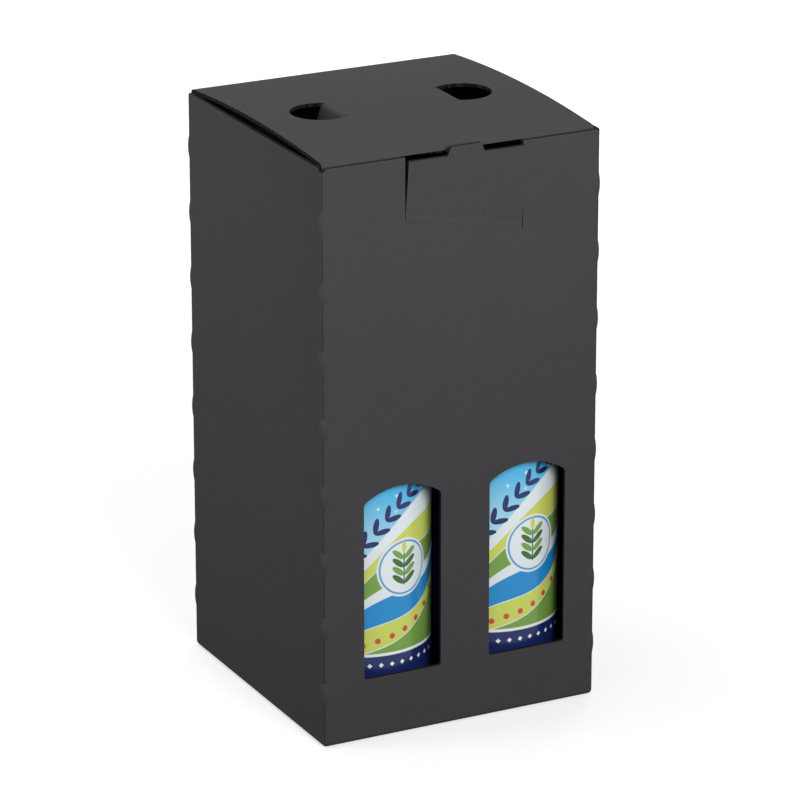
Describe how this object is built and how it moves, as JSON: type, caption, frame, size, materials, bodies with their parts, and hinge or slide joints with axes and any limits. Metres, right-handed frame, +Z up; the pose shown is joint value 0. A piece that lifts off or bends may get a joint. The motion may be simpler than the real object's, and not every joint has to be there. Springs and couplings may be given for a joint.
{
  "type": "bottle carrier",
  "caption": "Tall folding carton of dark fine-flute card that carries long-neck bottles, with arch-topped windows, a tucked lid with finger holes and a lock tab.",
  "frame": {"origin": "middle of the underside of the base, where the carton stands", "axes": "+X to the right seen from the windows, +Y from the windows to the back, +Z up"},
  "size_m": [0.1314, 0.1325, 0.2589],
  "materials": {
    "dark_card": "matt",
    "amber_glass": "clear",
    "drink": "liquid",
    "printed_paper": "satin print",
    "cap_metal": "lacquered"
  },
  "bodies": {
    "carton": {"carrier_sleeve": "dark_card", "bottle_front_left": "amber_glass", "bottle_front_right": "amber_glass", "bottle_back_left": "amber_glass", "bottle_back_right": "amber_glass", "drink_front_left": "drink", "drink_front_right": "drink", "drink_back_left": "drink", "drink_back_right": "drink", "label_front_left": "printed_paper", "label_front_right": "printed_paper", "label_back_left": "printed_paper", "label_back_right": "printed_paper", "crown_cap_front_left": "cap_metal", "crown_cap_front_right": "cap_metal", "crown_cap_back_left": "cap_metal", "crown_cap_back_right": "cap_metal"},
    "lid": {"lid": "dark_card"},
    "lock_tab": {"lock_tab": "dark_card"},
    "finger_flap_left": {"finger_flap_left": "dark_card"},
    "finger_flap_right": {"finger_flap_right": "dark_card"}
  },
  "joints": [
    {"name": "lid_fold", "type": "hinge", "parent": "carton", "child": "lid", "pos_m": [0, 0.0642, 0.2552], "axis": [-1, 0, 0], "range_deg": [0, 180]},
    {"name": "lock_tab_crease", "type": "hinge", "parent": "carton", "child": "lock_tab", "pos_m": [-0.0266, -0.0642, 0.2292], "axis": [0.9811, 0, -0.1934], "range_deg": [-3, 30]},
    {"name": "finger_flap_left_fold", "type": "hinge", "parent": "lid", "child": "finger_flap_left", "pos_m": [-0.02675, 0, 0.25805], "axis": [0, -1, 0], "range_deg": [-80, 10]},
    {"name": "finger_flap_right_fold", "type": "hinge", "parent": "lid", "child": "finger_flap_right", "pos_m": [0.02675, 0, 0.25805], "axis": [0, 1, 0], "range_deg": [-80, 10]}
  ]
}
